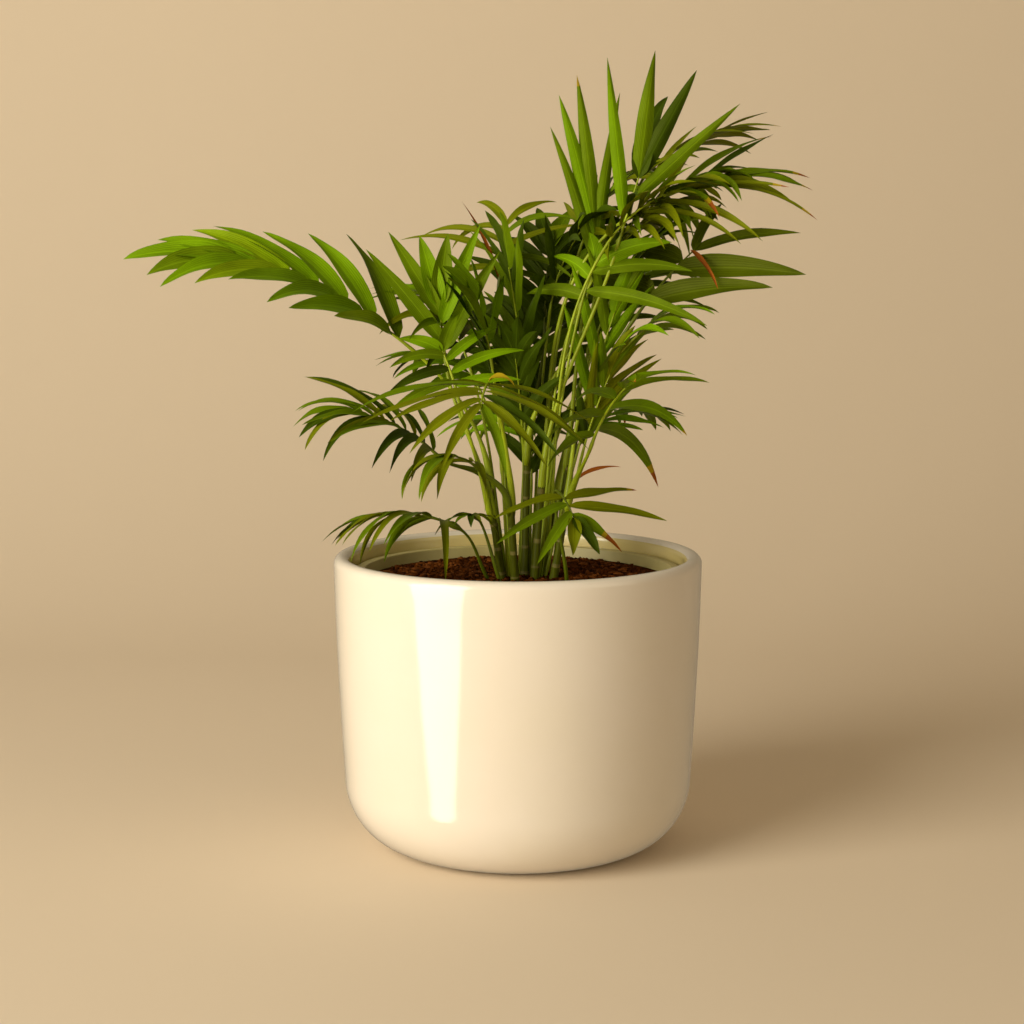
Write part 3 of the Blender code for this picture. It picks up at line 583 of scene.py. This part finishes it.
def aim(heading, rise):
    """Unit vector at a compass direction and an upward angle."""
    turn, lift = math.radians(heading), math.radians(rise)
    return Vector((math.cos(turn) * math.cos(lift), math.sin(turn) * math.cos(lift), math.sin(lift)))


def rib_direction(spec, share):
    """Direction of a frond's rib at a share of its length."""
    return aim(spec["heading"], blend((spec["rise"], spec["fall"]), share))


def rib_point(spec, share, steps=24):
    """Point on the rib, whose direction turns evenly from rise to fall along its length."""
    point = spec["base"].copy()
    count = max(1, round(steps * share))
    for i in range(count):
        point += rib_direction(spec, share * (i + 0.5) / count) * (spec["rib"] * share / count)
    return point


def rib_axes(spec, share):
    """Direction of the rib, of its first row of leaflets and of the blade's upper face."""
    along = rib_direction(spec, share)
    turn = math.radians(spec["heading"])
    side = Vector((math.sin(turn), -math.cos(turn), 0))
    above = side.cross(along)
    roll = math.radians(spec["roll"])
    return (along, side * math.cos(roll) + above * math.sin(roll),
            above * math.cos(roll) - side * math.sin(roll))


def petiole_feet():
    """Places the petioles round the top of their stem, the flattest on the side that it leans to."""
    feet = {}
    for stem, cane in STEMS.items():
        foot = Vector((*cane["foot"], SOIL_LEVEL + GAP))
        top = Vector((*cane["top"], cane["height"]))
        along = (top - foot).normalized()
        reach = {name: spec["base"] - top for name, spec in FRONDS.items() if spec["stem"] == stem}
        names = sorted(reach, key=lambda name: reach[name].normalized().z)
        first = math.atan2(reach[names[0]].y, reach[names[0]].x)
        places = [first + math.tau * spot / len(names) for spot in range(len(names))]
        for name in names:
            level = Vector((reach[name].x, reach[name].y, 0)).normalized()
            turn = max(places, key=lambda angle: level.x * math.cos(angle) + level.y * math.sin(angle))
            places.remove(turn)
            out = Vector((math.cos(turn), math.sin(turn), 0))
            out = (out - along * out.dot(along)).normalized()
            ring = PETIOLE_RING if len(names) > 1 else 0
            feet[name] = (top + along * GAP + out * ring, along)
    for name, spec in FRONDS.items():
        if spec["stem"] not in STEMS:
            foot = Vector((*spec["stem"], SOIL_LEVEL + GAP))
            feet[name] = (foot, ((spec["base"] - foot).normalized() + Vector((0, 0, SOIL_LEAN))).normalized())
    return feet


def petiole_line(spec, foot, along, steps):
    """Curve from the foot to the blade, which leaves and arrives in line."""
    end = spec["base"]
    reach = (end - foot).length
    leave, arrive = PETIOLE_HANDLES
    handles = (foot, foot + along * reach * leave, end - rib_direction(spec, 0) * reach * arrive, end)
    points = []
    for i in range(steps):
        t = i / steps
        weights = ((1 - t) ** 3, 3 * t * (1 - t) ** 2, 3 * t * t * (1 - t), t ** 3)
        points.append(sum((handle * weight for handle, weight in zip(handles, weights)), Vector()))
    return points


stalk_mesh = bmesh.new()
for name, (foot, along) in petiole_feet().items():
    spec = FRONDS[name]
    petiole = [foot - along * PETIOLE_SINK] + petiole_line(spec, foot, along, PETIOLE_STEPS)
    rib = [rib_point(spec, step / RIB_STEPS) for step in range(RIB_STEPS + 1)]
    walked = [0.0]
    for before, after in zip(petiole, petiole[1:]):
        walked.append(walked[-1] + (after - before).length)
    thick, swell = (1.0, SHEATH_SWELL) if spec["stem"] in STEMS else (SOIL_STALK, SOIL_SWELL)
    knuckle = KNUCKLES.get(name, KNUCKLE)
    radii = [thick * blend(PETIOLE_RADII, length / walked[-1])
             + swell * math.sin(math.pi * min(1.0, length / SHEATH_LENGTH) ** 0.6)
             + knuckle * math.exp(-((walked[-1] - length) / KNUCKLE_BEFORE) ** 2) for length in walked]
    radii += [thick * blend(RIB_RADII, step / RIB_STEPS)
              + knuckle * math.exp(-(spec["rib"] * step / RIB_STEPS / KNUCKLE_AFTER) ** 2)
              for step in range(RIB_STEPS + 1)]
    limb(stalk_mesh, petiole + rib, radii, STALK_SIDES, lambda step: spec["stalk"])

# The second stalk finish is the stalk green with painted shade.
stalk_finishes = []
for name, colour in (("stalk_bright", STALK_BRIGHT), ("stalk_deep", STALK_PAINTED_SHADE)):
    finish, shader = new_finish(name, colour, 0.36, specular=0.3)
    mottled(finish, shader, colour, [part * STALK_SHADE for part in colour], **STALK_PATCHES)
    stalk_finishes.append(finish)
place("leaf_stalks", stalk_mesh, stalk_finishes,
      ["petiole_" + name for name, spec in FRONDS.items() if spec["solid"]])


# The leaflets: thin, waxy, pointed blades with a sunken midrib and fine lengthwise veins. They stand
# in two rows on each rib, the last pair joined at the tip, and old ones dry to brown from the point.

LEAF_ACROSS = 4
LEAF_ALONG = 14
LEAF_ROOT_SHARE = 0.16
LEAF_FOLD = 0.45               # how far the edges stand up, as a share of the half width
LEAF_RIPPLE = 0.5
LEAF_TWIST = 0.35
LEAF_SICKLE = 0.04
BLADE_START = 0.03             # where the leaflets start, as a share of the rib
BLADE_LENGTH = 0.94
ROW_STAGGER = (0.35, 0.65)     # the two rows take turns along the rib
LONGEST_AT = 0.4
TIP_AT = 0.985
LOOSE_ANGLE = 4.0
LOOSE_LENGTH = 0.07
LOOSE_DROOP = 0.25
TIP_SPREAD = 0.6               # the last pair closes up, as a share of the blade's last spread
# The darkest leaf green is painted shade, and the two lightest yellow-greens are painted light.
TONES = {
    "fresh_painted_light": (0.155, 0.285, 0.001),
    "mid": (0.112, 0.182, 0.001),
    "deep": (0.040, 0.070, 0.001),
    "olive": (0.138, 0.165, 0.001),
    "dusky": (0.068, 0.094, 0.001),
    "bright": (0.215, 0.330, 0.002),
    "yellowed": (0.36, 0.26, 0.008),
    "dry": (0.30, 0.085, 0.012),
}
TONE_NEIGHBOURS = {"fresh_painted_light": ("fresh_painted_light", "mid", "bright"), "mid": ("mid", "fresh_painted_light", "deep"),
                   "deep": ("deep", "deep", "mid"), "olive": ("olive", "mid", "deep"),
                   "dusky": ("dusky", "deep", "dusky")}
TONE_REACH = 1.3               # how often a leaflet takes a neighbouring green
LEAF_SHADE = 0.62
LEAF_PATCHES = dict(scale=55.0, amount=0.9)
VEIN_TURNS = 69.1              # eleven veins side by side, in radians
VEIN_PALER = 1.6
VEIN_RELIEF = dict(strength=0.35, distance=0.0003)
YELLOW_BAND = 0.07             # between the green and the brown, as a share of the length
tone_names = list(TONES)

# Share of a leaflet that has dried, by its frond and its place on the rib.
DRIED = {
    ("right_top", 4): 0.12, ("right_top", 5): 0.16, ("right_top", 6): 0.16, ("right_top", 10): 0.12,
    ("right_top", 11): 0.24, ("right_back", 4): 0.06, ("right_mid", 1): 0.20, ("right_mid", 3): 0.06,
    ("right_mid", 6): 0.12, ("right_low", 1): 0.16, ("right_low", 5): 0.45, ("top_inner", 3): 0.08,
    ("fill_right_high", 8): 0.30, ("fill_right", 7): 0.20, ("back_low_right", 9): 0.20,
}

# Single leaves that stand apart: piece, start, heading, rise, length, width, droop and tone.
SINGLE_LEAVES = (
    ("top", (-8, 20, 246), 180, 74, 38, 1.8, 18, "dry"),
    ("right", (74, 1, 259), 300, -22, 27, 2.4, 32, "dry"),
    ("right", (-12, -52, 206), 320, 40, 15, 3.4, 90, "yellowed"),
    ("right", (24, -14, 161), 10, 40, 22, 2, 46, "dry"),
    ("top", (51, -11, 289), 50, 80, 42, 9, 44, "deep"),
)
SINGLE_LEAF_ABOVE = (0, -0.6, 0.8)


def leaflet_rule(name, spec):
    """Yields start, direction, length, width, droop and upper face of each leaflet of a frond."""
    chance = random.Random(name)
    pairs = spec["pairs"]
    for pair in range(pairs):
        for row, side in enumerate((1, -1)):
            share = BLADE_START + BLADE_LENGTH * (pair + ROW_STAGGER[row]) / pairs
            swing, tilt, stretch, sag = (spec["loose"] * chance.uniform(-1, 1) for _ in range(4))
            along, across, above = rib_axes(spec, share)
            angle = math.radians(blend(spec["spread"], share) + spec["swept"][row] + LOOSE_ANGLE * swing)
            lift = math.radians(spec["fold"][row] + LOOSE_ANGLE * tilt)
            out = across * side * math.cos(lift) + above * math.sin(lift)
            if share < LONGEST_AT:
                size = blend((spec["first"], 1), math.sin(share / LONGEST_AT * math.pi / 2))
            else:
                size = blend((1, spec["last"]), ((share - LONGEST_AT) / (1 - LONGEST_AT)) ** 1.5)
            yield (rib_point(spec, share), along * math.cos(angle) + out * math.sin(angle),
                   spec["leaf"] * size * (1 + LOOSE_LENGTH * stretch) * spec["rows"][row],
                   spec["width"], blend(spec["droop"], share) * (1 + LOOSE_DROOP * sag), above)
    along, across, above = rib_axes(spec, 1)
    for row, side in enumerate((1, -1)):
        angle = math.radians(spec["spread"][1] * TIP_SPREAD)
        lift = math.radians(spec["fold"][row])
        out = across * side * math.cos(lift) + above * math.sin(lift)
        yield (rib_point(spec, TIP_AT), along * math.cos(angle) + out * math.sin(angle),
               spec["leaf"] * spec["last"] * spec["rows"][row], spec["width"] * spec["ends"],
               spec["droop"][1], above)


def leaflet_line(start, direction, length, droop, steps):
    """Midrib of a leaflet, which bends down by the droop along its length."""
    heading = math.degrees(math.atan2(direction.y, direction.x))
    lift = math.degrees(math.asin(max(-1, min(1, direction.z))))
    points = [start.copy()]
    for i in range(steps):
        step = aim(heading, max(-88, lift - droop * (i + 0.5) / steps))
        points.append(points[-1] + step * length / steps)
    return points


def leaf_width(share):
    """Width along a leaflet as a share of its widest, drawn out to a long point."""
    body = max(0.0, math.sin(math.pi * min(1.0, share) ** 0.64)) ** 0.8
    return body + LEAF_ROOT_SHARE * (1 - share) ** 6


def grow_leaflet(bm, leaflet, tone, dried, chance):
    """Lays a grid along a leaflet's midrib as a folded, rippled and slightly twisted blade."""
    start, direction, length, width, droop, above = leaflet
    grid = bmesh.ops.create_grid(bm, x_segments=LEAF_ACROSS, y_segments=LEAF_ALONG, size=1,
                                 calc_uvs=True)["verts"]
    for face in {face for vertex in grid for face in vertex.link_faces}:
        share = (face.calc_center_median().y + 1) / 2
        ageing = share - (1 - dried)
        if dried and ageing > 0:
            face.material_index = tone_names.index("yellowed" if ageing < YELLOW_BAND else "dry")
        else:
            face.material_index = tone_names.index(tone)
    twist = chance.uniform(-LEAF_TWIST, LEAF_TWIST)
    sickle = chance.uniform(-LEAF_SICKLE, LEAF_SICKLE) * length
    phase = chance.uniform(0, math.tau)
    line = leaflet_line(start, direction, length, droop, LEAF_ALONG)
    for vertex in grid:
        side, share = vertex.co.x, (vertex.co.y + 1) / 2
        step = min(int(share * LEAF_ALONG), LEAF_ALONG - 1)
        centre = line[step].lerp(line[step + 1], share * LEAF_ALONG - step)
        ahead = (line[min(step + 1, LEAF_ALONG)] - line[max(step - 1, 0)]).normalized()
        across = above.cross(ahead).normalized()
        upper = ahead.cross(across)
        turn = Matrix.Rotation(twist * share, 3, ahead)
        half = 0.5 * width * leaf_width(share)
        ripple = LEAF_RIPPLE * abs(side) ** 2 * math.sin(9 * share + phase + side) * min(1, 4 * share)
        lift = LEAF_FOLD * abs(side) * half + ripple * min(1, half / 2)
        vertex.co = (centre - turn @ across * (side * half) + across * (sickle * share ** 2)
                     + turn @ upper * lift)


# Veins follow the leaflet from root to point, so they are drawn on its own map.
veins, veins_in, veins_out = new_group(
    "leaf_veins", {"Green": "Color", "Pale": "Color"}, {"Colour": "Color", "Height": "Float"})
veins_map = add_node(veins, "ShaderNodeUVMap")
veins_split = add_node(veins, "ShaderNodeSeparateXYZ", {"Vector": veins_map.outputs["UV"]})
veins_turns = add_node(veins, "ShaderNodeMath", {
    0: veins_split.outputs["X"], 1: VEIN_TURNS}, operation="MULTIPLY")
veins_wave = add_node(veins, "ShaderNodeMath", {0: veins_turns.outputs["Value"]}, operation="SINE")
veins_share = add_node(veins, "ShaderNodeMapRange", {
    "Value": veins_wave.outputs["Value"], "From Min": -1.0, "From Max": 1.0, "To Max": 0.4})
veins_middle = add_node(veins, "ShaderNodeMath", {
    0: veins_split.outputs["X"], 1: 0.5}, operation="SUBTRACT")
veins_away = add_node(veins, "ShaderNodeMath", {0: veins_middle.outputs["Value"]}, operation="ABSOLUTE")
veins_rib = add_node(veins, "ShaderNodeMapRange", {
    "Value": veins_away.outputs["Value"], "From Min": 0.012, "From Max": 0.06, "To Min": 0.75, "To Max": 0.0})
veins_pale = add_node(veins, "ShaderNodeMath", {
    0: veins_share.outputs["Result"], 1: veins_rib.outputs["Result"]}, operation="MAXIMUM")
veins_mix = add_node(veins, "ShaderNodeMix", {"Factor": veins_pale.outputs["Value"]}, data_type="RGBA")
veins.links.new(veins_in.outputs["Green"], veins_mix.inputs["A"])
veins.links.new(veins_in.outputs["Pale"], veins_mix.inputs["B"])
veins.links.new(veins_mix.outputs["Result"], veins_out.inputs["Colour"])
veins.links.new(veins_pale.outputs["Value"], veins_out.inputs["Height"])

# One finish for each green, the painted-shade and painted-light greens among them.
leaf_finishes = []
for tone, colour in TONES.items():
    is_dry = tone == "dry"
    finish, shader = new_finish("leaf_" + tone, colour, 0.8 if is_dry else 0.42, 0.12 if is_dry else 0.22)
    shader.inputs["Specular Tint"].default_value = (1.0, 0.95, 0.35, 1)
    shader.inputs["IOR"].default_value = 1.3
    uneven = mottled(finish, shader, colour, [part * LEAF_SHADE for part in colour], **LEAF_PATCHES)
    lined = add_node(finish.node_tree, "ShaderNodeGroup", node_tree=veins)
    lined.inputs["Pale"].default_value = (*(min(1, part * VEIN_PALER + 0.004) for part in colour), 1)
    finish.node_tree.links.new(uneven.outputs["Colour"], lined.inputs["Green"])
    finish.node_tree.links.new(lined.outputs["Colour"], shader.inputs["Base Color"])
    embossed(finish, shader, lined.outputs["Height"], **VEIN_RELIEF)
    leaf_finishes.append(finish)

for spray in ("left", "right", "top", "back", "inner"):
    names = [name for name, spec in FRONDS.items() if spec["spray"] == spray]
    spray_mesh = bmesh.new()
    spray_mesh.loops.layers.uv.new("blade")
    for name in names:
        spec = FRONDS[name]
        chance = random.Random("blade_" + name)
        for index, leaflet in enumerate(leaflet_rule(name, spec)):
            tone = TONE_NEIGHBOURS[spec["tone"]][min(2, int(abs(chance.gauss(0, TONE_REACH))))]
            grow_leaflet(spray_mesh, leaflet, tone, DRIED.get((name, index), 0), chance)
    for where, start, heading, rise, length, width, droop, tone in SINGLE_LEAVES:
        if where == spray:
            leaf = (Vector(start), aim(heading, rise), length, width, droop, Vector(SINGLE_LEAF_ABOVE))
            grow_leaflet(spray_mesh, leaf, tone, 0, chance)
    bmesh.ops.remove_doubles(spray_mesh, verts=spray_mesh.verts, dist=0.002)
    place("leaflets_" + spray, spray_mesh, leaf_finishes,
          ["frond_" + name for name in names if FRONDS[name]["solid"]])


# The stage: a plain pale sweep under and behind the plant, a large soft light from the left front, a
# weak fill from the right and warm light all round. None of it is part of the object.

SWEEP_FRONT = -3.0
SWEEP_BACK = 0.4
SWEEP_RADIUS = 0.7
SWEEP_HEIGHT = 3.0
SWEEP_HALF_WIDTH = 4.0
SWEEP_COLOUR = (0.78, 0.67, 0.53)

sweep_curve = quarter((SWEEP_BACK, SWEEP_RADIUS), SWEEP_RADIUS, SWEEP_RADIUS, -90, 0, 16)
sweep_profile = [(SWEEP_FRONT, 0.0), *sweep_curve, (SWEEP_BACK + SWEEP_RADIUS, SWEEP_HEIGHT)]
sweep_mesh = bmesh.new()
sweep_points = [sweep_mesh.verts.new((-SWEEP_HALF_WIDTH, y, z)) for y, z in sweep_profile]
sweep_edges = [sweep_mesh.edges.new(pair) for pair in zip(sweep_points, sweep_points[1:])]
widened = bmesh.ops.extrude_edge_only(sweep_mesh, edges=sweep_edges)["geom"]
bmesh.ops.translate(sweep_mesh, vec=(2 * SWEEP_HALF_WIDTH, 0, 0), verts=[
    item for item in widened if isinstance(item, bmesh.types.BMVert)])
bmesh.ops.recalc_face_normals(sweep_mesh, faces=sweep_mesh.faces)
sweep_data = bpy.data.meshes.new("sweep")
sweep_mesh.to_mesh(sweep_data)
sweep_mesh.free()
sweep_data.shade_smooth()
sweep_data.materials.append(new_finish("pale_sweep", SWEEP_COLOUR, 0.95)[0])
sweep = bpy.data.objects.new("sweep", sweep_data)
bpy.context.scene.collection.objects.link(sweep)
sweep.visible_glossy = False


def soft_light(name, azimuth, distance, height, size, power, colour):
    """Oval light that stands at an azimuth from the front and looks at the plant."""
    data = bpy.data.lights.new(name, "AREA")
    data.shape = "ELLIPSE"
    data.size, data.size_y = size
    data.energy = power
    data.color = colour
    lamp = bpy.data.objects.new(name, data)
    turn = math.radians(azimuth)
    lamp.location = (distance * math.sin(turn), -distance * math.cos(turn), height)
    lamp.rotation_euler = (math.radians(90), 0, turn)
    bpy.context.scene.collection.objects.link(lamp)


soft_light("window", -49, 1.5, 0.5, (1.05, 2.3), 44.0, (1.0, 0.92, 0.75))
soft_light("fill", 60, 1.8, 0.9, (1.2, 1.2), 3.0, (1.0, 0.84, 0.58))

world = bpy.data.worlds.new("studio")
world.use_nodes = True
world.node_tree.nodes["Background"].inputs["Color"].default_value = (1.0, 0.80, 0.53, 1)
world.node_tree.nodes["Background"].inputs["Strength"].default_value = 0.25
bpy.context.scene.world = world
bpy.context.scene.view_settings.view_transform = "Standard"

camera_data = bpy.data.cameras.new("camera")
camera_data.lens = 71.76
camera_data.sensor_width = 36.0
camera = bpy.data.objects.new("camera", camera_data)
camera.location = (-0.0025, -0.88, 0.2605)
camera.rotation_euler = (math.radians(90 - 7.41), 0, 0)
bpy.context.scene.collection.objects.link(camera)
bpy.context.scene.camera = camera
